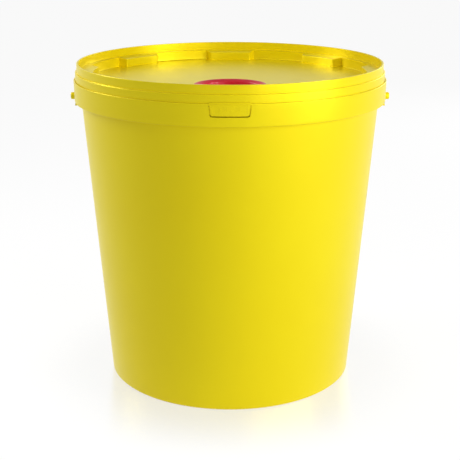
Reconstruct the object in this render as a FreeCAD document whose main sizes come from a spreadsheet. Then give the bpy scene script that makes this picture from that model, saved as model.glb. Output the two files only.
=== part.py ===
"""Round medical waste bucket with a push-on lid and a press-in filling cap.

Three mouldings: the bucket with its collar, tear tab and handle pins; the lid with its
stacking lugs; and the cap that closes the filling hole in the lid.
Millimetres, +Z up, the origin on the ground at the centre of the base, the tear tab at -Y.
"""
import FreeCAD, Part
import os
import Sketcher

os.makedirs("parts", exist_ok=True)
doc = FreeCAD.newDocument("MedicalWasteBucket")
sheet = doc.addObject("Spreadsheet::Sheet", "Sizes")

# How near two measures must be to count as the same
CLOSE = 1e-4

# Sizes that are chosen, each with what it measures
CHOSEN = {
    # bucket wall and base
    "base_radius": (129.05, "outside of the wall, carried down to the ground"),
    "neck_radius": (153.5, "outside of the wall from the web up to the rim"),
    "web_level": (303.0, "top of the web that carries the collar"),
    "bucket_wall": (2.0, "thickness of the wall"),
    "floor_lift": (4.0, "ground to the underside of the floor"),
    "floor_thick": (2.4, "thickness of the floor"),
    "foot_width": (3.4, "width of the ring that the bucket stands on"),
    "foot_bevel": (1.6, "bevel at the bottom of the wall"),
    "floor_bevel": (3.0, "slope inside, where the wall meets the floor"),
    # rim of the bucket
    "rim_rise": (18.7, "web to the top of the rim"),
    "bead_reach": (2.9, "how far the rim bead stands out from the neck"),
    "bead_depth": (3.6, "height of the rim bead"),
    "bead_bevel": (0.7, "bevel of the rim bead"),
    # collar round the lid skirt
    "bead_play": (0.5, "rim bead to the lid skirt inside the collar"),
    "collar_draft": (0.53, "how much smaller its radius is at the bottom"),
    "collar_wall": (1.2, "thickness of the collar"),
    "collar_rise": (12.4, "web to the top of the collar"),
    "collar_drop": (8.9, "web down to the bottom of the collar"),
    "collar_bevel": (0.35, "bevel of the collar's outer edges"),
    "web_thick": (1.6, "thickness of the web"),
    "rib_count": (24, "ribs under the web"),
    "rib_thick": (1.4, "thickness of a rib"),
    "rib_lift": (1.5, "bottom of the collar to the bottom of a rib"),
    # handle pins and the posts below them
    "pin_radius": (3.7, "handle pin"),
    "pin_stand": (4.7, "collar to the end of a pin"),
    "pin_drop": (7.3, "web down to the axis of a pin"),
    "pin_bevel": (0.7, "bevel at the end of a pin"),
    "root_flare": (0.8, "how much thicker a pin is at its root, on the radius"),
    "root_stand": (0.8, "collar to the end of that root"),
    "post_stand": (0.6, "how far a post stands out from the collar"),
    "post_drop": (17.2, "web down to the foot of a post"),
    "post_width": (6.0, "width of a post"),
    "post_foot": (2.8, "depth of a post at its foot"),
    "post_slope": (6.0, "how much higher its root on the wall is"),
    # tear tab in the collar
    "tab_half_top": (18.8, "middle of the tab to a slot arm at its top"),
    "tab_half_foot": (17.5, "middle of the tab to a slot arm at its foot"),
    "slot_width": (1.0, "width of the slot round the tab"),
    "slot_lift": (0.1, "web to the lower edge of the slot"),
    "slot_round": (2.2, "outer radius of the slot's corners"),
    "arm_drop": (3.6, "top of the collar to the top of a slot arm"),
    "dot_radius": (0.6, "hole above each slot arm"),
    "dot_drop": (2.0, "top of the collar to the middle of that hole"),
    "lip_rise": (1.2, "top of the collar to the top of the tab's lip"),
    "lip_thick": (0.6, "thickness of the tab's lip"),
    "ledge_drop": (0.4, "top of the collar to the ledge in front of the lip"),
    "field_sink": (0.25, "how far the field for the lettering is sunk in the tab"),
    "field_edge": (1.6, "tab edge to the sunk field"),
    # lid
    "lid_wall": (1.8, "thickness of the lid"),
    "skirt_gap": (0.5, "collar to the lid skirt at the collar's top"),
    "skirt_wall": (1.6, "thickness of the skirt"),
    "skirt_lift": (2.0, "web to the bottom of the skirt"),
    "snap_bite": (0.5, "how far the snap bead reaches under the rim bead"),
    "snap_gap": (0.3, "rim bead to the snap bead"),
    "snap_height": (3.2, "height of the snap bead"),
    "step_width": (1.7, "step between the skirt and the upstand"),
    "step_bevel": (0.5, "bevel of that step"),
    "stand_height": (8.5, "ledge to the top of the upstand"),
    "stand_wall": (1.9, "thickness of the upstand"),
    "stand_bevel": (0.35, "bevel along the top of the upstand"),
    "ledge_width": (6.5, "upstand to the wall of the well"),
    "well_depth": (10.0, "ledge down to the panel"),
    "well_bevel": (0.8, "slope where the panel meets the wall"),
    # stacking lugs in the lid
    "lug_count": (8, "lugs round the well"),
    "lug_reach": (8.5, "well wall to the face of a lug"),
    "lug_half_face": (22.5, "half the width of a lug at its face"),
    "lug_half_root": (27.8, "half the width of a lug at the wall"),
    "lug_fall": (1.4, "how far the top of a lug falls towards its face"),
    "lug_bevel": (0.5, "bevel round the face of a lug"),
    # filling hole and its cap
    "cap_offset": (50.5, "middle of the lid to the middle of the cap"),
    "hole_radius": (33.5, "filling hole"),
    "spout_depth": (5.0, "panel to the bottom of the spout"),
    "spout_wall": (1.6, "thickness of the spout"),
    "plug_gap": (0.3, "spout to the plug"),
    "plug_wall": (1.5, "thickness of the cap"),
    "flange_reach": (3.1, "filling hole to the edge of the flange"),
    "flange_thick": (2.0, "panel to the top of the flange"),
    "flange_land": (2.0, "flat width along the top of the flange"),
    "flange_bevel": (0.6, "bevel of the flange"),
    "bevel_depth": (2.8, "height of the bevel inside the flange"),
    "cup_depth": (9.5, "top of the flange to the bottom of the cup"),
    "cup_bevel": (1.0, "slope at the bottom of the cup"),
    "ridge_bite": (0.4, "how far the snap ridge reaches under the spout"),
    "ridge_gap": (0.3, "spout to the snap ridge"),
    "ridge_height": (1.2, "height of the snap ridge"),
    "grip_thick": (5.0, "thickness of the finger bar"),
    "grip_drop": (3.2, "top of the flange to the top of the finger bar"),
}

# Sizes that follow from the chosen ones
WORKED_OUT = {
    # bucket
    "wall_lean": "(neck_radius - base_radius) / web_level",
    "neck_inside": "neck_radius - bucket_wall",
    "floor_level": "floor_lift + floor_thick",
    "floor_radius": "base_radius + wall_lean * floor_level - bucket_wall",
    "foot_inside": "base_radius - foot_width",
    "rim_level": "web_level + rim_rise",
    "bead_radius": "neck_radius + bead_reach",
    "bead_level": "rim_level - bead_depth",
    "collar_radius": "bead_radius + bead_play + skirt_wall + skirt_gap + collar_wall",
    "web_root": "neck_radius - bucket_wall / 2",
    "web_under": "web_level - web_thick",
    "collar_top": "web_level + collar_rise",
    "collar_bottom": "web_level - collar_drop",
    "collar_slope": "collar_draft / (collar_rise + collar_drop)",
    "collar_inside": "collar_radius - collar_wall",
    "collar_foot": "collar_radius - collar_draft",
    "collar_foot_inside": "collar_foot - collar_wall",
    "collar_web_inside": "collar_inside - collar_slope * collar_rise",
    "collar_under_inside": "collar_inside - collar_slope * (collar_rise + web_thick)",
    "rib_foot": "collar_bottom + rib_lift",
    "rib_outside": "collar_foot_inside + collar_wall / 2",
    "rib_root": "base_radius + wall_lean * rib_foot - bucket_wall / 2",
    "pin_level": "web_level - pin_drop",
    "pin_end": "collar_radius + pin_stand",
    "root_start": "collar_foot_inside + collar_wall / 2",
    "root_radius": "pin_radius + root_flare",
    "root_end": "collar_radius + root_stand",
    "root_length": "root_end - root_start",
    "pin_length": "pin_end - root_end",
    "post_outside": "collar_radius + post_stand",
    "post_inside": "post_outside - post_foot",
    "post_bottom": "web_level - post_drop",
    "post_head": "pin_level - pin_radius",
    "post_heel": "post_bottom + post_slope",
    "post_root": "base_radius + wall_lean * post_heel - bucket_wall / 2",
    # tear tab
    "slot_start": "(bead_radius + collar_web_inside) / 2",
    "slot_cut": "collar_radius - slot_start + slot_width",
    "slot_foot": "web_level + slot_lift",
    "slot_head": "collar_top - arm_drop",
    "tab_foot": "slot_foot + slot_width",
    "slot_out_top": "tab_half_top + slot_width / 2",
    "slot_in_top": "tab_half_top - slot_width / 2",
    "slot_out_foot": "tab_half_foot + slot_width / 2",
    "slot_in_foot": "tab_half_foot - slot_width / 2",
    "slot_inner_round": "slot_round - slot_width",
    "dot_level": "collar_top - dot_drop",
    "lip_top": "collar_top + lip_rise",
    "lip_root": "collar_top - lip_rise",
    "lip_near": "-(collar_inside + lip_thick)",
    "lip_far": "-collar_inside",
    "lip_angle": "2 * asin(tab_half_top / collar_radius)",
    "ledge_far": "-(collar_radius + lip_rise)",
    "tab_ledge": "collar_top - ledge_drop",
    "field_top": "tab_ledge - field_edge",
    "field_foot": "tab_foot + field_edge",
    "field_near_top": "-(collar_radius - collar_slope * (collar_top - field_top) - field_sink)",
    "field_near_foot": "-(collar_radius - collar_slope * (collar_top - field_foot) - field_sink)",
    "field_angle": "2 * asin((slot_in_foot - field_edge) / collar_radius)",
    # lid
    "ledge_level": "rim_level + lid_wall",
    "skirt_radius": "collar_inside - skirt_gap",
    "skirt_inside": "skirt_radius - skirt_wall",
    "skirt_foot": "web_level + skirt_lift",
    "snap_radius": "bead_radius - snap_bite",
    "snap_top": "bead_level - snap_gap",
    "snap_crest": "snap_top - snap_height / 3",
    "snap_foot": "snap_top - snap_height",
    "stand_outside": "skirt_radius - step_width",
    "stand_inside": "stand_outside - stand_wall",
    "stand_top": "ledge_level + stand_height",
    "well_radius": "stand_inside - ledge_width",
    "well_outside": "well_radius + lid_wall",
    "panel_level": "ledge_level - well_depth",
    "panel_under": "panel_level - lid_wall",
    # lugs
    "lug_radius": "well_radius - lug_reach",
    "lug_foot": "panel_level - lid_wall / 2",
    "lug_height": "ledge_level - lug_foot",
    "lug_root": "well_radius + lid_wall / 2",
    "lug_face_top": "ledge_level - lug_fall",
    "lug_clear": "lug_radius - lid_wall",
    "ledge_clear": "ledge_level + lid_wall",
    "side_lean": "atan((lug_half_root - lug_half_face) / lug_reach)",
    "hollow_radius": "lug_radius + lid_wall",
    "hollow_root": "well_outside + lid_wall / 4",
    "hollow_half_face": "lug_half_face + lid_wall * tan(side_lean) - lid_wall / cos(side_lean)",
    "hollow_half_root": "lug_half_root - lid_wall / cos(side_lean)",
    "hollow_height": "lug_face_top - lid_wall - panel_under",
    # filling hole and cap
    "cap_place": "-cap_offset",
    "hole_width": "2 * hole_radius",
    "spout_width": "2 * (hole_radius + spout_wall)",
    "spout_foot": "panel_under - spout_depth",
    "spout_height": "spout_depth + lid_wall / 2",
    "hole_height": "spout_depth + 2 * lid_wall",
    "plug_radius": "hole_radius - plug_gap",
    "plug_inside": "plug_radius - plug_wall",
    "flange_radius": "hole_radius + flange_reach",
    "flange_top": "panel_level + flange_thick",
    "land_inside": "flange_radius - flange_land",
    "bevel_level": "flange_top - bevel_depth",
    "cup_level": "flange_top - cup_depth",
    "cup_under": "cup_level - plug_wall",
    "ridge_radius": "hole_radius + ridge_bite",
    "ridge_top": "spout_foot - ridge_gap",
    "ridge_foot": "ridge_top - ridge_height",
    "grip_foot": "cup_level - plug_wall / 2",
    "grip_height": "flange_top - grip_drop - grip_foot",
    "grip_half_length": "plug_inside + plug_wall / 2",
    "grip_half_thick": "grip_thick / 2",
}


def fill_sheet():
    """Write every size into the sheet, its name beside it."""
    rows = [(name, str(value), note) for name, (value, note) in CHOSEN.items()]
    rows += [(name, "=" + formula, "worked out") for name, formula in WORKED_OUT.items()]
    for row, (name, content, note) in enumerate(rows, start=1):
        sheet.set(f"A{row}", name)
        sheet.set(f"B{row}", content)
        sheet.setAlias(f"B{row}", name)
        sheet.set(f"C{row}", note)
    doc.recompute()


def size(name):
    """The present value of one size; "-name" gives it with its sign turned."""
    value = sheet.get(name.lstrip("-"))
    value = float(getattr(value, "Value", value))
    return -value if name.startswith("-") else value


def cell(name):
    """The expression that reads one size from the sheet."""
    return "-Sizes." + name[1:] if name.startswith("-") else "Sizes." + name


def new_body(label):
    body = doc.addObject("PartDesign::Body", label)
    body.Label = label
    return body


def new_sketch(body, name, role, level=None):
    """An empty sketch on an origin plane of the body, moved along its normal by a size."""
    sketch = body.newObject("Sketcher::SketchObject", name)
    planes = [item for item in body.Origin.OriginFeatures if item.Role == role]
    sketch.AttachmentSupport = [(planes[0], "")]
    sketch.MapMode = "FlatFace"
    if level:
        sketch.setExpression("AttachmentOffset.Base.z", cell(level))
    return sketch


def pin_point(sketch, line, point, across, up):
    """Hold one end of a line at two sizes measured from the origin; None is on the axis."""
    for kind, name, axis in (("DistanceX", across, -2), ("DistanceY", up, -1)):
        if name is None:
            sketch.addConstraint(Sketcher.Constraint("PointOnObject", line, point, axis))
        else:
            rule = Sketcher.Constraint(kind, -1, 1, line, point, size(name))
            index = sketch.addConstraint(rule)
            sketch.setExpression(f"Constraints[{index}]", cell(name))


def draw_outline(sketch, corners):
    """Draw a closed outline of straight lines through corners given by named sizes."""
    places = [
        FreeCAD.Vector(size(across) if across else 0, size(up) if up else 0, 0)
        for across, up in corners
    ]
    lines = []
    for start, end in zip(places, places[1:] + places[:1]):
        lines.append(sketch.addGeometry(Part.LineSegment(start, end), False))
    for line, following in zip(lines, lines[1:] + lines[:1]):
        sketch.addConstraint(Sketcher.Constraint("Coincident", line, 2, following, 1))
    for line, (across, up) in zip(lines, corners):
        pin_point(sketch, line, 1, across, up)


def draw_circle(sketch, across, up, radius):
    """Draw a circle of a named radius about a named place."""
    centre = FreeCAD.Vector(size(across) if across else 0, size(up) if up else 0, 0)
    circle = sketch.addGeometry(Part.Circle(centre, FreeCAD.Vector(0, 0, 1), size(radius)), False)
    pin_point(sketch, circle, 3, across, up)
    index = sketch.addConstraint(Sketcher.Constraint("Radius", circle, size(radius)))
    sketch.setExpression(f"Constraints[{index}]", cell(radius))


def draw_sector(sketch, near, half_near, far, half_far):
    """Draw a block between two arcs about the origin, with straight sides, centred on +Y."""
    arcs = []
    for radius, half in ((near, half_near), (far, half_far)):
        reach, side = size(radius), size(half)
        rise = (reach ** 2 - side ** 2) ** 0.5
        arc = Part.Arc(
            FreeCAD.Vector(side, rise, 0),
            FreeCAD.Vector(0, reach, 0),
            FreeCAD.Vector(-side, rise, 0),
        )
        number = sketch.addGeometry(arc, False)
        sketch.addConstraint(Sketcher.Constraint("Coincident", number, 3, -1, 1))
        index = sketch.addConstraint(Sketcher.Constraint("Radius", number, reach))
        sketch.setExpression(f"Constraints[{index}]", cell(radius))
        for end, name in ((1, half), (2, "-" + half)):
            rule = Sketcher.Constraint("DistanceX", -1, 1, number, end, size(name))
            index = sketch.addConstraint(rule)
            sketch.setExpression(f"Constraints[{index}]", cell(name))
        arcs.append((number, side, rise))
    (inner, in_side, in_rise), (outer, out_side, out_rise) = arcs
    for end, sign in ((1, 1), (2, -1)):
        side_line = Part.LineSegment(
            FreeCAD.Vector(sign * in_side, in_rise, 0), FreeCAD.Vector(sign * out_side, out_rise, 0)
        )
        number = sketch.addGeometry(side_line, False)
        sketch.addConstraint(Sketcher.Constraint("Coincident", number, 1, inner, end))
        sketch.addConstraint(Sketcher.Constraint("Coincident", number, 2, outer, end))


def turn(body, kind, name, sketch, angle=None):
    """Turn a sketch about the body's upright axis, all the way or through a named angle."""
    feature = body.newObject("PartDesign::" + kind, name)
    feature.Profile = sketch
    feature.ReferenceAxis = (sketch, ["V_Axis"])
    if angle:
        feature.Midplane = True
        feature.setExpression("Angle", cell(angle))
    else:
        feature.Angle = 360
    finish(feature, sketch, grows=kind == "Revolution")


def push(body, kind, name, sketch, length, reverse=False, both_ways=False):
    """Pad or pocket a sketch by a named length."""
    feature = body.newObject("PartDesign::" + kind, name)
    feature.Profile = sketch
    feature.setExpression("Length", cell(length))
    feature.Reversed = reverse
    if both_ways:
        feature.SideType = "Symmetric"
    finish(feature, sketch, grows=kind == "Pad")
    return feature


def finish(feature, sketch, grows):
    """Recompute, hide the sketch, and make sure that the step changed the solid."""
    doc.recompute()
    sketch.Visibility = False
    base = feature.BaseFeature
    if base is not None:
        change = feature.Shape.Volume - base.Shape.Volume
        if (change > 0) != grows or change == 0:
            raise ValueError(f"{feature.Label} changed the volume by {change:.3f}")


def soften(body, kind, name, wanted, amount):
    """Fillet or chamfer, by a named size, the edges of the body that the test picks out."""
    base = body.Tip
    edges = [f"Edge{number}" for number, edge in enumerate(base.Shape.Edges, start=1) if wanted(edge)]
    if not edges:
        raise ValueError(f"{name} found no edge")
    feature = body.newObject("PartDesign::" + kind, name)
    feature.Base = (base, edges)
    feature.setExpression("Radius" if kind == "Fillet" else "Size", cell(amount))
    doc.recompute()


def level_rings(*rings):
    """A test for level circles of the given radii and heights; None is the ground."""
    def wanted(edge):
        curve = edge.Curve
        if not isinstance(curve, Part.Circle) or abs(curve.Axis.z) < 1 - CLOSE:
            return False
        return any(
            abs(curve.Radius - size(radius)) < CLOSE
            and abs(curve.Center.z - (size(level) if level else 0)) < CLOSE
            for radius, level in rings
        )
    return wanted


def pin_ends(edge):
    """A test for the circles at the free ends of the handle pins."""
    curve = edge.Curve
    return isinstance(curve, Part.Circle) and abs(abs(curve.Center.x) - size("pin_end")) < CLOSE


def lug_edges(edge):
    """A test for the edges round the faces of the lugs, apart from the one on the panel."""
    ends = [vertex.Point for vertex in edge.Vertexes]
    radii = [(end.x ** 2 + end.y ** 2) ** 0.5 for end in ends]
    on_face = all(abs(radius - size("lug_radius")) < CLOSE for radius in radii)
    on_panel = all(abs(end.z - size("panel_level")) < CLOSE for end in ends)
    return len(ends) > 1 and on_face and not on_panel


def slot_corners(across, up):
    """A test for the edges that run through the collar at one pair of corners of the slot."""
    def wanted(edge):
        curve = edge.Curve
        if not isinstance(curve, Part.Line) or abs(curve.Direction.y) < 1 - CLOSE:
            return False
        place = edge.Vertexes[0].Point
        return abs(abs(place.x) - size(across)) < CLOSE and abs(place.z - size(up)) < CLOSE
    return wanted


def repeat_round(body, name, originals, count):
    """Repeat features evenly about the body's upright axis."""
    pattern = body.newObject("PartDesign::PolarPattern", name)
    pattern.Originals = originals
    axes = [item for item in body.Origin.OriginFeatures if item.Role == "Z_Axis"]
    pattern.Axis = (axes[0], [""])
    pattern.Angle = 360
    pattern.setExpression("Occurrences", cell(count))
    body.Tip = pattern
    doc.recompute()


def mirror_across(body, name, originals):
    """Mirror features from the +X side to the -X side."""
    mirror = body.newObject("PartDesign::Mirrored", name)
    mirror.Originals = originals
    planes = [item for item in body.Origin.OriginFeatures if item.Role == "YZ_Plane"]
    mirror.MirrorPlane = (planes[0], [""])
    body.Tip = mirror
    doc.recompute()


def make_bucket():
    """The tub with its foot, rim bead, collar, ribs, handle pins and tear tab, one moulding."""
    body = new_body("bucket")
    tub = new_sketch(body, "TubSection", "XZ_Plane")
    draw_outline(tub, [
        ("foot_inside", None),
        ("base_radius", None),
        ("neck_radius", "web_level"),
        ("neck_radius", "bead_level"),
        ("bead_radius", "bead_level"),
        ("bead_radius", "rim_level"),
        ("neck_inside", "rim_level"),
        ("neck_inside", "web_level"),
        ("floor_radius", "floor_level"),
        (None, "floor_level"),
        (None, "floor_lift"),
        ("foot_inside", "floor_lift"),
    ])
    turn(body, "Revolution", "Tub", tub)
    foot_edge = level_rings(("base_radius", None))
    soften(body, "Chamfer", "FootBevel", foot_edge, "foot_bevel")
    floor_edge = level_rings(("floor_radius", "floor_level"))
    soften(body, "Chamfer", "FloorBevel", floor_edge, "floor_bevel")
    bead_edges = level_rings(("bead_radius", "rim_level"), ("bead_radius", "bead_level"))
    soften(body, "Chamfer", "BeadBevels", bead_edges, "bead_bevel")

    collar = new_sketch(body, "CollarSection", "XZ_Plane")
    draw_outline(collar, [
        ("web_root", "web_under"),
        ("collar_under_inside", "web_under"),
        ("collar_foot_inside", "collar_bottom"),
        ("collar_foot", "collar_bottom"),
        ("collar_radius", "collar_top"),
        ("collar_inside", "collar_top"),
        ("collar_web_inside", "web_level"),
        ("web_root", "web_level"),
    ])
    turn(body, "Revolution", "Collar", collar)
    collar_edges = level_rings(("collar_radius", "collar_top"), ("collar_foot", "collar_bottom"))
    soften(body, "Chamfer", "CollarBevels", collar_edges, "collar_bevel")
    add_ribs(body)
    add_handle_pins(body)
    add_tear_tab(body)
    return body


def add_ribs(body):
    """Thin upright ribs between the wall and the collar, under the web."""
    rib = new_sketch(body, "RibSection", "XZ_Plane")
    draw_outline(rib, [
        ("rib_root", "rib_foot"),
        ("rib_outside", "rib_foot"),
        ("rib_outside", "web_level"),
        ("web_root", "web_level"),
    ])
    first = push(body, "Pad", "Rib", rib, "rib_thick", both_ways=True)
    repeat_round(body, "Ribs", [first], "rib_count")


def add_handle_pins(body):
    """A pin for the handle on each side, carried by a post that runs down below the collar."""
    post = new_sketch(body, "PostSection", "XZ_Plane")
    draw_outline(post, [
        ("post_root", "post_heel"),
        ("post_inside", "post_bottom"),
        ("post_outside", "post_bottom"),
        ("collar_foot", "post_head"),
        ("collar_foot", "web_under"),
        ("web_root", "web_under"),
    ])
    post_pad = push(body, "Pad", "Post", post, "post_width", both_ways=True)
    root = new_sketch(body, "RootSection", "YZ_Plane", "root_start")
    draw_circle(root, None, "pin_level", "root_radius")
    root_pad = push(body, "Pad", "Root", root, "root_length")
    pin = new_sketch(body, "PinSection", "YZ_Plane", "root_end")
    draw_circle(pin, None, "pin_level", "pin_radius")
    pin_pad = push(body, "Pad", "Pin", pin, "pin_length")
    mirror_across(body, "PinsBothSides", [post_pad, root_pad, pin_pad])
    soften(body, "Chamfer", "PinBevels", pin_ends, "pin_bevel")


def add_tear_tab(body):
    """The tab that is torn out of the collar: its ledge and lip, a slot, two holes and a field."""
    ledge = new_sketch(body, "LedgeSection", "YZ_Plane")
    draw_outline(ledge, [
        ("lip_near", "tab_ledge"),
        ("lip_near", "lip_top"),
        ("ledge_far", "lip_top"),
        ("ledge_far", "tab_ledge"),
    ])
    turn(body, "Groove", "TabLedge", ledge, "lip_angle")
    lip = new_sketch(body, "LipSection", "YZ_Plane")
    draw_outline(lip, [
        ("lip_near", "lip_root"),
        ("lip_near", "lip_top"),
        ("lip_far", "lip_top"),
        ("lip_far", "lip_root"),
    ])
    turn(body, "Revolution", "Lip", lip, "lip_angle")
    slot = new_sketch(body, "SlotSection", "XZ_Plane", "slot_start")
    draw_outline(slot, [
        ("-slot_out_top", "slot_head"),
        ("-slot_out_foot", "slot_foot"),
        ("slot_out_foot", "slot_foot"),
        ("slot_out_top", "slot_head"),
        ("slot_in_top", "slot_head"),
        ("slot_in_foot", "tab_foot"),
        ("-slot_in_foot", "tab_foot"),
        ("-slot_in_top", "slot_head"),
    ])
    push(body, "Pocket", "Slot", slot, "slot_cut", reverse=True)
    outer_corners = slot_corners("slot_out_foot", "slot_foot")
    soften(body, "Fillet", "SlotOuterRounding", outer_corners, "slot_round")
    inner_corners = slot_corners("slot_in_foot", "tab_foot")
    soften(body, "Fillet", "SlotInnerRounding", inner_corners, "slot_inner_round")
    dots = new_sketch(body, "DotSection", "XZ_Plane", "slot_start")
    draw_circle(dots, "tab_half_top", "dot_level", "dot_radius")
    draw_circle(dots, "-tab_half_top", "dot_level", "dot_radius")
    push(body, "Pocket", "Dots", dots, "slot_cut", reverse=True)
    field = new_sketch(body, "FieldSection", "YZ_Plane")
    draw_outline(field, [
        ("field_near_foot", "field_foot"),
        ("field_near_top", "field_top"),
        ("ledge_far", "field_top"),
        ("ledge_far", "field_foot"),
    ])
    turn(body, "Groove", "Field", field, "field_angle")


def make_lid():
    """The lid: skirt, upstand, well, hollow stacking lugs and filling spout, one moulding."""
    body = new_body("lid")
    section = new_sketch(body, "LidSection", "XZ_Plane")
    draw_outline(section, [
        (None, "panel_level"),
        ("well_radius", "panel_level"),
        ("well_radius", "ledge_level"),
        ("stand_inside", "ledge_level"),
        ("stand_inside", "stand_top"),
        ("stand_outside", "stand_top"),
        ("stand_outside", "ledge_level"),
        ("skirt_radius", "ledge_level"),
        ("skirt_radius", "skirt_foot"),
        ("skirt_inside", "skirt_foot"),
        ("skirt_inside", "snap_foot"),
        ("snap_radius", "snap_crest"),
        ("skirt_inside", "snap_top"),
        ("skirt_inside", "rim_level"),
        ("well_outside", "rim_level"),
        ("well_outside", "panel_under"),
        (None, "panel_under"),
    ])
    turn(body, "Revolution", "Shell", section)
    stand_edges = level_rings(("stand_outside", "stand_top"), ("stand_inside", "stand_top"))
    soften(body, "Chamfer", "StandBevels", stand_edges, "stand_bevel")
    step_edge = level_rings(("skirt_radius", "ledge_level"))
    soften(body, "Chamfer", "StepBevel", step_edge, "step_bevel")
    well_edge = level_rings(("well_radius", "panel_level"))
    soften(body, "Chamfer", "WellBevel", well_edge, "well_bevel")
    add_lugs(body)
    add_spout(body)
    return body


def add_lugs(body):
    """Hollow lugs round the well, open from below, their tops falling towards the middle."""
    block = new_sketch(body, "LugSection", "XY_Plane", "lug_foot")
    draw_sector(block, "lug_radius", "lug_half_face", "lug_root", "lug_half_root")
    lug = push(body, "Pad", "Lug", block, "lug_height")
    hollow = new_sketch(body, "HollowSection", "XY_Plane", "panel_under")
    draw_sector(hollow, "hollow_radius", "hollow_half_face", "hollow_root", "hollow_half_root")
    pocket = push(body, "Pocket", "LugHollow", hollow, "hollow_height", reverse=True)
    repeat_round(body, "Lugs", [lug, pocket], "lug_count")
    fall = new_sketch(body, "FallSection", "XZ_Plane")
    draw_outline(fall, [
        ("well_radius", "ledge_level"),
        ("lug_radius", "lug_face_top"),
        ("lug_clear", "lug_face_top"),
        ("lug_clear", "ledge_clear"),
        ("well_radius", "ledge_clear"),
    ])
    turn(body, "Groove", "LugFall", fall)
    soften(body, "Chamfer", "LugBevels", lug_edges, "lug_bevel")


def add_spout(body):
    """The filling hole and the short spout below it that the cap presses into."""
    spout = new_sketch(body, "SpoutSection", "XY_Plane", "spout_foot")
    spout.setExpression("AttachmentOffset.Base.y", cell("cap_place"))
    draw_ring_sketch(spout, "spout_width")
    push(body, "Pad", "Spout", spout, "spout_height")
    hole = new_sketch(body, "HoleSection", "XY_Plane", "spout_foot")
    hole.setExpression("AttachmentOffset.Base.y", cell("cap_place"))
    draw_ring_sketch(hole, "hole_width")
    push(body, "Pocket", "Hole", hole, "hole_height", reverse=True)


def draw_ring_sketch(sketch, width):
    """Draw a circle of a named width about the sketch's own origin."""
    circle = Part.Circle(FreeCAD.Vector(0, 0, 0), FreeCAD.Vector(0, 0, 1), size(width) / 2)
    number = sketch.addGeometry(circle, False)
    sketch.addConstraint(Sketcher.Constraint("Coincident", number, 3, -1, 1))
    index = sketch.addConstraint(Sketcher.Constraint("Diameter", number, size(width)))
    sketch.setExpression(f"Constraints[{index}]", cell(width))


def make_cap():
    """The press-in cap: a flanged cup with a snap ridge and a bar to pull it by."""
    body = new_body("filling_cap")
    section = new_sketch(body, "CapSection", "XZ_Plane")
    draw_outline(section, [
        (None, "cup_under"),
        ("plug_radius", "cup_under"),
        ("plug_radius", "ridge_foot"),
        ("ridge_radius", "ridge_top"),
        ("plug_radius", "ridge_top"),
        ("plug_radius", "panel_level"),
        ("flange_radius", "panel_level"),
        ("flange_radius", "flange_top"),
        ("land_inside", "flange_top"),
        ("plug_inside", "bevel_level"),
        ("plug_inside", "cup_level"),
        (None, "cup_level"),
    ])
    turn(body, "Revolution", "Cup", section)
    flange_edges = level_rings(("flange_radius", "flange_top"), ("land_inside", "flange_top"))
    soften(body, "Chamfer", "FlangeBevels", flange_edges, "flange_bevel")
    cup_edge = level_rings(("plug_inside", "cup_level"))
    soften(body, "Chamfer", "CupBevel", cup_edge, "cup_bevel")
    grip = new_sketch(body, "GripSection", "XY_Plane", "grip_foot")
    draw_outline(grip, [
        ("-grip_half_length", "-grip_half_thick"),
        ("grip_half_length", "-grip_half_thick"),
        ("grip_half_length", "grip_half_thick"),
        ("-grip_half_length", "grip_half_thick"),
    ])
    push(body, "Pad", "Grip", grip, "grip_height")
    body.setExpression("Placement.Base.y", cell("cap_place"))
    return body


def check(bodies):
    """Stop unless every object computed and every sub-part is one valid solid."""
    doc.recompute()
    for item in doc.Objects:
        if "Invalid" in item.State or "Error" in item.State:
            raise ValueError(f"{item.Label} failed: {item.State}")
    for body in bodies:
        shape = body.Shape
        if shape.isNull() or not shape.isValid() or len(shape.Solids) != 1:
            raise ValueError(f"{body.Label} is not one valid solid")


fill_sheet()
pieces = [make_bucket(), make_lid(), make_cap()]
check(pieces)
for piece in pieces:
    piece.Shape.exportStep(f"parts/{piece.Label}.step")
    box = piece.Shape.BoundBox
    print(f"{piece.Label}: {piece.Shape.Volume / 1000:.1f} cm3, z {box.ZMin:.2f} to {box.ZMax:.2f}")
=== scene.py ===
"""Looks of a round waste bucket: moulded plastics, raised lettering and a pale studio.

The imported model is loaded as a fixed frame, in metres, with the tear tab towards -Y.
"""

import logging
import math
from dataclasses import dataclass, field
from enum import Enum

import bmesh
import bpy
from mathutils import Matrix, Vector

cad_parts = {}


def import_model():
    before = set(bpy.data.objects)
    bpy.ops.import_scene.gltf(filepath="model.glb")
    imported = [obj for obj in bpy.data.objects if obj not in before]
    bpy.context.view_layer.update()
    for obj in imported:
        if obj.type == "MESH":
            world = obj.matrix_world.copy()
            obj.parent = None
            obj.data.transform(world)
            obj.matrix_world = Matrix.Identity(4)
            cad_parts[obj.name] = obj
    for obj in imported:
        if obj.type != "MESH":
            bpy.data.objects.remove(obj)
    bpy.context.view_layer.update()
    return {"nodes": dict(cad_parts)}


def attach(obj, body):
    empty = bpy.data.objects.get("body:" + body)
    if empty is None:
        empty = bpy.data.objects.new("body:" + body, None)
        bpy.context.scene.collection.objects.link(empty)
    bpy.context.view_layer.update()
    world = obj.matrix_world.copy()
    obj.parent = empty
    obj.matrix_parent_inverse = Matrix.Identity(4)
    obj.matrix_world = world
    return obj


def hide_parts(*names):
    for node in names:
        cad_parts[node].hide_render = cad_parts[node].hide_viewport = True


logging.basicConfig(level=logging.INFO, format="%(message)s")
log = logging.getLogger("waste_bucket")

Colour = tuple[float, float, float]
Point = tuple[float, float, float]


class Body(Enum):
    """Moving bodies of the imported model."""

    BUCKET = "bucket"
    LID = "lid"
    CAP = "cap"


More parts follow.
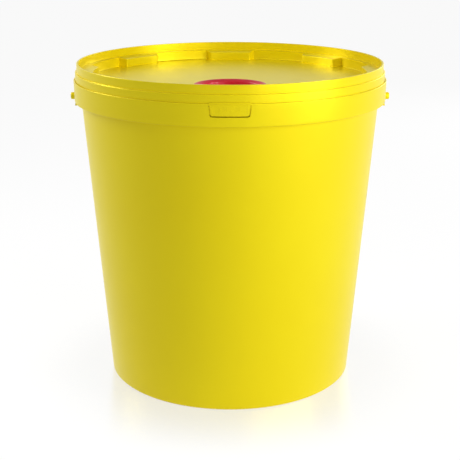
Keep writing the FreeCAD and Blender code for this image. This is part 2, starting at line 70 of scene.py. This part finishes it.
class NodeBench:
    """A material's node tree with short calls to add and join nodes."""

    WEAK_NOISE = 0.3
    STRONG_NOISE = 0.7

    def __init__(self, tree: bpy.types.NodeTree) -> None:
        """Empty the tree.

        Args:
            tree: node tree of a material or world.
        """
        self.tree = tree
        self.tree.nodes.clear()

    def add(self, kind: str, **values: object) -> bpy.types.Node:
        """Add a node and set its own properties.

        Args:
            kind: Blender's class name of the node.
            values: properties of the node.

        Returns:
            The new node.
        """
        node = self.tree.nodes.new(kind)
        for name, value in values.items():
            setattr(node, name, value)
        return node

    def join(self, source: bpy.types.NodeSocket, target: bpy.types.NodeSocket) -> None:
        """Link an output socket to an input socket."""
        self.tree.links.new(source, target)

    def noise(
        self, place: bpy.types.NodeSocket, scale: float, detail: float
    ) -> bpy.types.NodeSocket:
        """Add a noise texture.

        Args:
            place: coordinates that it follows.
            scale: grains to a metre.
            detail: finer layers on top of the first.

        Returns:
            Its strength, from 0 to 1.
        """
        node = self.add("ShaderNodeTexNoise")
        node.inputs["Scale"].default_value = scale
        node.inputs["Detail"].default_value = detail
        self.join(place, node.inputs["Vector"])
        return node.outputs["Fac"]

    def spread(
        self, value: bpy.types.NodeSocket, low: float, high: float
    ) -> bpy.types.NodeSocket:
        """Map the middle of a noise to a range.

        Args:
            value: noise strength.
            low: result for a weak noise.
            high: result for a strong noise.

        Returns:
            The mapped value.
        """
        node = self.add("ShaderNodeMapRange")
        node.inputs["From Min"].default_value = self.WEAK_NOISE
        node.inputs["From Max"].default_value = self.STRONG_NOISE
        node.inputs["To Min"].default_value = low
        node.inputs["To Max"].default_value = high
        self.join(value, node.inputs["Value"])
        return node.outputs["Result"]


@dataclass(frozen=True)
class MouldedPlastic:
    """Opaque injection-moulded plastic with a satin skin.

    Roughness stays above 0.28, because smoother noise shows as fine lines in a denoised render.
    """

    slot: str
    colour: Colour
    deep_colour: Colour
    gloss_tint: Colour
    lustre: float
    roughness: float
    roughness_spread: float
    patches_per_metre: float = 28
    patch_detail: float = 3
    clouds_per_metre: float = 9
    cloud_detail: float = 4

    def material(self) -> bpy.types.Material:
        """Build the finish once and hand it out again on later calls.

        Returns:
            The node material.
        """
        title = f"{self.slot}_satin"
        found = bpy.data.materials.get(title)
        if found:
            return found
        material = bpy.data.materials.new(title)
        material.use_nodes = True
        bench = NodeBench(material.node_tree)
        place = bench.add("ShaderNodeTexCoord").outputs["Object"]
        skin = bench.add("ShaderNodeBsdfPrincipled")
        skin.inputs["Specular Tint"].default_value = (*self.gloss_tint, 1)
        skin.inputs["Metallic"].default_value = self.lustre
        bench.join(self._pigment(bench, place), skin.inputs["Base Color"])
        patches = bench.noise(place, self.patches_per_metre, self.patch_detail)
        low = self.roughness - self.roughness_spread
        high = self.roughness + self.roughness_spread
        rough = bench.spread(patches, low, high)
        bench.join(rough, skin.inputs["Roughness"])
        result = bench.add("ShaderNodeOutputMaterial")
        bench.join(skin.outputs["BSDF"], result.inputs["Surface"])
        material.diffuse_color = (*self.colour, 1)
        return material

    def _pigment(self, bench: NodeBench, place: bpy.types.NodeSocket) -> bpy.types.NodeSocket:
        """Pigment that is a little deeper in soft clouds.

        Args:
            bench: tree to build in.
            place: coordinates.

        Returns:
            The colour.
        """
        noise = bench.noise(place, self.clouds_per_metre, self.cloud_detail)
        clouds = bench.spread(noise, 0, 1)
        blend = bench.add("ShaderNodeMix", data_type="RGBA")
        blend.inputs["A"].default_value = (*self.colour, 1)
        blend.inputs["B"].default_value = (*self.deep_colour, 1)
        bench.join(clouds, blend.inputs["Factor"])
        return blend.outputs["Result"]


YELLOW = MouldedPlastic(
    slot="yellow_plastic",
    colour=(0.93, 0.765, 0.003),
    deep_colour=(0.92, 0.74, 0.002),
    gloss_tint=(1.0, 0.98, 0.34),
    lustre=0.30,
    roughness=0.305,
    roughness_spread=0.015,
)
RED = MouldedPlastic(
    slot="red_plastic",
    colour=(0.88, 0.012, 0.036),
    deep_colour=(0.85, 0.010, 0.032),
    gloss_tint=(1.0, 0.85, 0.9),
    lustre=0.0,
    roughness=0.315,
    roughness_spread=0.015,
)


@dataclass
class Lettering:
    """Raised word on the tear tab of the collar, bent round the collar.

    The foot radius is the collar's at the middle of the word, and the slope is the collar's draft.
    """

    word: str = "OPEN"
    height: float = 0.0050
    spacing: float = 1.10
    middle: float = 0.3097
    foot_radius: float = 0.15964
    slope: float = 0.02488
    relief: float = 0.0003
    size_for_height: float = 1.4
    edge_share: float = 0.25
    edge_steps: int = 2

    def build(self) -> bpy.types.Object:
        """Make the letters as a mesh and put them on the bucket.

        Returns:
            The lettering.
        """
        curve = bpy.data.curves.new("tab_lettering", "FONT")
        curve.body = self.word
        curve.align_x = "CENTER"
        curve.align_y = "CENTER"
        curve.size = self.height * self.size_for_height
        curve.space_character = self.spacing
        curve.extrude = self.relief / 2
        curve.bevel_depth = self.relief * self.edge_share
        curve.bevel_resolution = self.edge_steps
        source = bpy.data.objects.new("tab_lettering_curve", curve)
        bpy.context.scene.collection.objects.link(source)
        mesh = bpy.data.meshes.new_from_object(source)
        bpy.data.objects.remove(source)
        for vertex in mesh.vertices:
            across, up, out = vertex.co
            radius = self.foot_radius + self.slope * up + out + self.relief / 2
            angle = across / self.foot_radius
            vertex.co = (radius * math.sin(angle), -radius * math.cos(angle), self.middle + up)
        letters = bpy.data.objects.new("tab_lettering", mesh)
        bpy.context.scene.collection.objects.link(letters)
        mesh.materials.append(YELLOW.material())
        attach(letters, Body.BUCKET.value)
        log.info("tab_lettering: %d faces", len(mesh.polygons))
        return letters


@dataclass(frozen=True)
class RoundZone:
    """Ring-shaped zone round an upright axis, in which a moulding is turned."""

    axis: tuple[float, float]
    inner: float
    outer: float
    step: float
    bulge: float = 0.0004
    rounds: int = 3

    def reach(self, point: Vector) -> float:
        """Distance of a point from the axis."""
        return math.hypot(point.x - self.axis[0], point.y - self.axis[1])

    def bearing(self, point: Vector) -> float:
        """Angle of a point round the axis."""
        return math.atan2(point.y - self.axis[1], point.x - self.axis[0])

    def turn_between(self, one: Vector, other: Vector) -> float:
        """Signed angle from one point to another round the axis."""
        return math.remainder(self.bearing(other) - self.bearing(one), math.tau)

    def is_coarse(self, edge: bmesh.types.BMEdge) -> bool:
        """Whether an edge of the zone has to be halved.

        Args:
            edge: edge of the moulding.

        Returns:
            True where it spans more than the step and isn't a chord across a flat.
        """
        one, other = (vertex.co for vertex in edge.verts)
        if not all(self.inner < self.reach(point) < self.outer for point in (one, other)):
            return False
        if abs(self.turn_between(one, other)) < self.step:
            return False
        return (self.middle(edge) - (one + other) / 2).length < self.bulge

    def middle(self, edge: bmesh.types.BMEdge) -> Vector:
        """Middle of an edge, on the round surface instead of on the chord.

        Args:
            edge: edge of the moulding.

        Returns:
            The point.
        """
        one, other = (vertex.co for vertex in edge.verts)
        radius = (self.reach(one) + self.reach(other)) / 2
        angle = self.bearing(one) + self.turn_between(one, other) / 2
        return Vector((
            self.axis[0] + radius * math.cos(angle),
            self.axis[1] + radius * math.sin(angle),
            (one.z + other.z) / 2,
        ))

    def refine(self, shape: bmesh.types.BMesh) -> None:
        """Halve the coarse edges a few times, and keep triangles.

        Args:
            shape: mesh that is refined in place.
        """
        for _ in range(self.rounds):
            for edge in [edge for edge in shape.edges if self.is_coarse(edge)]:
                place = self.middle(edge)
                _, vertex = bmesh.utils.edge_split(edge, edge.verts[0], 0.5)
                vertex.co = place
            split = [face for face in shape.faces if len(face.verts) > 3]
            bmesh.ops.triangulate(shape, faces=split)


BUCKET_AXIS = (0.0, 0.0)
CAP_AXIS = (0.0, -0.0505)
RING_STEP = math.radians(1.1)
SPOUT_STEP = math.radians(2.5)
OUTER_ZONE = RoundZone(axis=BUCKET_AXIS, inner=0.118, outer=0.1595, step=RING_STEP)
COLLAR_ZONE = RoundZone(axis=BUCKET_AXIS, inner=0.1585, outer=0.1604, step=RING_STEP)
SPOUT_ZONE = RoundZone(axis=CAP_AXIS, inner=0.026, outer=0.040, step=SPOUT_STEP)


@dataclass
class Moulding:
    """One moulded piece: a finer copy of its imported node, dressed in its plastic.

    Crease and near_radial are cosines of angles, and near_level is a share of a normal's length.
    """

    node: str
    body: Body
    finish: MouldedPlastic
    zones: tuple[RoundZone, ...]
    weld: float = 0.000001
    crease: float = math.cos(math.radians(50))
    near_level: float = 0.02
    near_radial: float = math.cos(math.radians(4))

    def build(self, nodes: dict[str, bpy.types.Object]) -> bpy.types.Object:
        """Make the fine piece and let it stand for the node.

        Args:
            nodes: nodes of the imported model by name.

        Returns:
            The piece.
        """
        shape = bmesh.new()
        shape.from_mesh(nodes[self.node].data)
        bmesh.ops.remove_doubles(shape, verts=shape.verts, dist=self.weld)
        for zone in self.zones:
            zone.refine(shape)
        for face in shape.faces:
            face.smooth = True
        normals = self._normals(shape)
        mesh = bpy.data.meshes.new(f"{self.node}_moulding")
        shape.to_mesh(mesh)
        shape.free()
        mesh.normals_split_custom_set(normals)
        piece = bpy.data.objects.new(mesh.name, mesh)
        bpy.context.scene.collection.objects.link(piece)
        mesh.materials.clear()
        mesh.materials.append(self.finish.material())
        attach(piece, self.body.value)
        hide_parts(self.node)
        log.info("%s: %d faces in %s", piece.name, len(mesh.polygons), self.finish.slot)
        return piece

    def _axis(self, middle: Vector) -> tuple[float, float]:
        """Upright axis of a face: the cap's near the cap, otherwise the bucket's."""
        near_cap = SPOUT_ZONE.reach(middle) < SPOUT_ZONE.outer and self.body is not Body.BUCKET
        return CAP_AXIS if near_cap else BUCKET_AXIS

    def _turned(self, normal: Vector, middle: Vector, corner: Vector) -> Vector:
        """Normal of the true round surface at a corner of a flat face.

        Args:
            normal: normal of the flat face.
            middle: middle of the face.
            corner: the corner.

        Returns:
            The normal at the corner, or the face's own where the face isn't turned.
        """
        flat = math.hypot(normal.x, normal.y)
        if flat < self.near_level:
            return normal.copy()
        axis = self._axis(middle)
        out = Vector((middle.x - axis[0], middle.y - axis[1])).normalized()
        along = (normal.x * out.x + normal.y * out.y) / flat
        if abs(along) < self.near_radial:
            return normal.copy()
        here = Vector((corner.x - axis[0], corner.y - axis[1])).normalized()
        here *= math.copysign(flat, along)
        return Vector((here.x, here.y, normal.z))

    def _normals(self, shape: bmesh.types.BMesh) -> list[Vector]:
        """Smooth normals that follow the round surfaces and keep the creases.

        Args:
            shape: mesh of the piece.

        Returns:
            One normal for each corner of each face, in the order of the faces.
        """
        shape.normal_update()
        shape.verts.index_update()
        shape.faces.index_update()
        areas = [face.calc_area() for face in shape.faces]
        middles = [face.calc_center_median() for face in shape.faces]
        corners: dict[tuple[int, int], Vector] = {}
        for vertex in shape.verts:
            turned = [
                (face.index, self._turned(face.normal, middles[face.index], vertex.co))
                for face in vertex.link_faces
            ]
            for own_index, own in turned:
                total = Vector((0, 0, 0))
                for index, normal in turned:
                    if own.dot(normal) > self.crease:
                        total += normal * areas[index]
                smooth = total.normalized() if total.length > 0 else own
                corners[own_index, vertex.index] = smooth
        loops = [loop for face in shape.faces for loop in face.loops]
        return [corners[loop.face.index, loop.vert.index] for loop in loops]


@dataclass
class SoftBox:
    """A soft rectangular lamp that looks at a point of the object."""

    name: str
    azimuth: float
    elevation: float
    distance: float
    width: float
    height: float
    level: float
    aim: Point = (0.0, 0.0, 0.18)

    def build(self) -> bpy.types.Object:
        """Place the lamp. Azimuth 0 is on the camera's side, 90 on the right.

        Returns:
            The lamp.
        """
        lamp = bpy.data.lights.new(self.name, "AREA")
        lamp.shape = "RECTANGLE"
        lamp.size = self.width
        lamp.size_y = self.height
        lamp.energy = self.level * math.pi * self.width * self.height
        side, lift = math.radians(self.azimuth), math.radians(self.elevation)
        across, back = math.sin(side) * math.cos(lift), -math.cos(side) * math.cos(lift)
        way = Vector((across, back, math.sin(lift)))
        stand = bpy.data.objects.new(self.name, lamp)
        stand.location = Vector(self.aim) + way * self.distance
        stand.rotation_euler = way.to_track_quat("Z", "Y").to_euler()
        stand.visible_camera = False
        bpy.context.scene.collection.objects.link(stand)
        return stand


@dataclass
class Studio:
    """Pale floor, pale surroundings, soft lamps and the camera."""

    floor_half: float = 9.0
    floor_glow: float = 0.94
    floor_grey: float = 0.12
    floor_matt: float = 0.8
    floor_mirror: float = 0.30
    floor_blur: float = 0.20
    mirror_inside: float = 0.130
    mirror_outside: float = 0.235
    fill: float = 0.05
    camera_place: Point = (0.0, -1.114264, 0.48665)
    camera_tilt: float = 73.184
    camera_lens: float = 84.57
    camera_sensor: float = 36
    lamps: list[SoftBox] = field(default_factory=lambda: [
        SoftBox("lamp_right", 60, 15, 1.6, 0.7, 0.9, 7.4),
        SoftBox("lamp_front", 32, 15, 1.6, 0.8, 0.9, 2.4),
        SoftBox("lamp_left", -100, 26, 0.95, 0.35, 0.5, 8.5, aim=(0.0, 0.0, 0.27)),
        SoftBox("lamp_back", 142, 14, 1.8, 0.6, 0.8, 3.2),
    ])

    def build(self) -> None:
        """Set up everything round the object."""
        self._floor()
        self._world()
        self._camera()
        for lamp in self.lamps:
            lamp.build()
            log.info("%s: level %.2f", lamp.name, lamp.level)
        bpy.context.scene.view_settings.view_transform = "Standard"

    def _seen(self, bench: NodeBench) -> bpy.types.NodeSocket:
        """Whether a ray comes from the camera or through a reflection or glass.

        Args:
            bench: tree to build in.

        Returns:
            1 for such a ray, otherwise 0.
        """
        path = bench.add("ShaderNodeLightPath")
        either = bench.add("ShaderNodeMath", operation="MAXIMUM")
        bench.join(path.outputs["Is Camera Ray"], either.inputs[0])
        bench.join(path.outputs["Is Glossy Ray"], either.inputs[1])
        every = bench.add("ShaderNodeMath", operation="MAXIMUM")
        bench.join(either.outputs[0], every.inputs[0])
        bench.join(path.outputs["Is Transmission Ray"], every.inputs[1])
        return every.outputs[0]

    def _floor(self) -> None:
        """A pale floor that shows as white, keeps the shadow and mirrors the object faintly."""
        half = self.floor_half
        mesh = bpy.data.meshes.new("floor")
        corners = [(-half, -half, 0), (half, -half, 0), (half, half, 0), (-half, half, 0)]
        mesh.from_pydata(corners, [], [(0, 1, 2, 3)])
        floor = bpy.data.objects.new("floor", mesh)
        bpy.context.scene.collection.objects.link(floor)
        material = bpy.data.materials.new("floor_white")
        material.use_nodes = True
        bench = NodeBench(material.node_tree)
        matt = bench.add("ShaderNodeBsdfDiffuse")
        matt.inputs["Color"].default_value = (*[self.floor_matt] * 3, 1)
        mirror = bench.add("ShaderNodeBsdfGlossy")
        mirror.inputs["Roughness"].default_value = self.floor_blur
        glow = bench.add("ShaderNodeEmission")
        glow.inputs["Strength"].default_value = self.floor_glow
        shaded = bench.add("ShaderNodeBsdfDiffuse")
        shaded.inputs["Color"].default_value = (*[self.floor_grey] * 3, 1)
        lit = bench.add("ShaderNodeAddShader")
        bench.join(shaded.outputs[0], lit.inputs[0])
        bench.join(glow.outputs[0], lit.inputs[1])
        polished = bench.add("ShaderNodeMixShader")
        bench.join(self._polish(bench), polished.inputs["Fac"])
        bench.join(lit.outputs[0], polished.inputs[1])
        bench.join(mirror.outputs[0], polished.inputs[2])
        choice = bench.add("ShaderNodeMixShader")
        bench.join(self._seen(bench), choice.inputs["Fac"])
        bench.join(matt.outputs[0], choice.inputs[1])
        bench.join(polished.outputs[0], choice.inputs[2])
        result = bench.add("ShaderNodeOutputMaterial")
        bench.join(choice.outputs[0], result.inputs["Surface"])
        mesh.materials.append(material)

    def _polish(self, bench: NodeBench) -> bpy.types.NodeSocket:
        """Share of mirror in the floor, which fades out round the foot of the object.

        Args:
            bench: tree to build in.

        Returns:
            The share, from the full one to none.
        """
        place = bench.add("ShaderNodeTexCoord")
        reach = bench.add("ShaderNodeVectorMath", operation="LENGTH")
        bench.join(place.outputs["Object"], reach.inputs[0])
        fade = bench.add("ShaderNodeMapRange", interpolation_type="SMOOTHSTEP")
        fade.inputs["From Min"].default_value = self.mirror_inside
        fade.inputs["From Max"].default_value = self.mirror_outside
        fade.inputs["To Min"].default_value = self.floor_mirror
        fade.inputs["To Max"].default_value = 0
        bench.join(reach.outputs["Value"], fade.inputs["Value"])
        path = bench.add("ShaderNodeLightPath")
        share = bench.add("ShaderNodeMath", operation="MULTIPLY")
        bench.join(fade.outputs["Result"], share.inputs[0])
        bench.join(path.outputs["Is Camera Ray"], share.inputs[1])
        return share.outputs[0]

    def _world(self) -> None:
        """Surroundings that show as white and give a soft fill."""
        world = bpy.data.worlds.new("surroundings")
        world.use_nodes = True
        bench = NodeBench(world.node_tree)
        soft = bench.add("ShaderNodeBackground")
        soft.inputs["Strength"].default_value = self.fill
        white = bench.add("ShaderNodeBackground")
        white.inputs["Color"].default_value = (1, 1, 1, 1)
        soft.inputs["Color"].default_value = (1, 1, 1, 1)
        choice = bench.add("ShaderNodeMixShader")
        bench.join(self._seen(bench), choice.inputs["Fac"])
        bench.join(soft.outputs[0], choice.inputs[1])
        bench.join(white.outputs[0], choice.inputs[2])
        result = bench.add("ShaderNodeOutputWorld")
        bench.join(choice.outputs[0], result.inputs["Surface"])
        bpy.context.scene.world = world

    def _camera(self) -> None:
        """The camera at the photograph's viewing angle."""
        view = bpy.data.cameras.new("camera")
        view.sensor_width = self.camera_sensor
        view.lens = self.camera_lens
        camera = bpy.data.objects.new("camera", view)
        camera.location = self.camera_place
        camera.rotation_euler = (math.radians(self.camera_tilt), 0, 0)
        bpy.context.scene.collection.objects.link(camera)
        bpy.context.scene.camera = camera


def main() -> None:
    """Load the frame, dress every piece, set the studio and add the lettering."""
    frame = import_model()
    Studio().build()
    for moulding in (
        Moulding("bucket", Body.BUCKET, YELLOW, (OUTER_ZONE, COLLAR_ZONE)),
        Moulding("lid", Body.LID, YELLOW, (OUTER_ZONE, SPOUT_ZONE)),
        Moulding("filling_cap", Body.CAP, RED, (SPOUT_ZONE,)),
    ):
        moulding.build(frame["nodes"])
    Lettering().build()


if __name__ == "__main__":
    main()
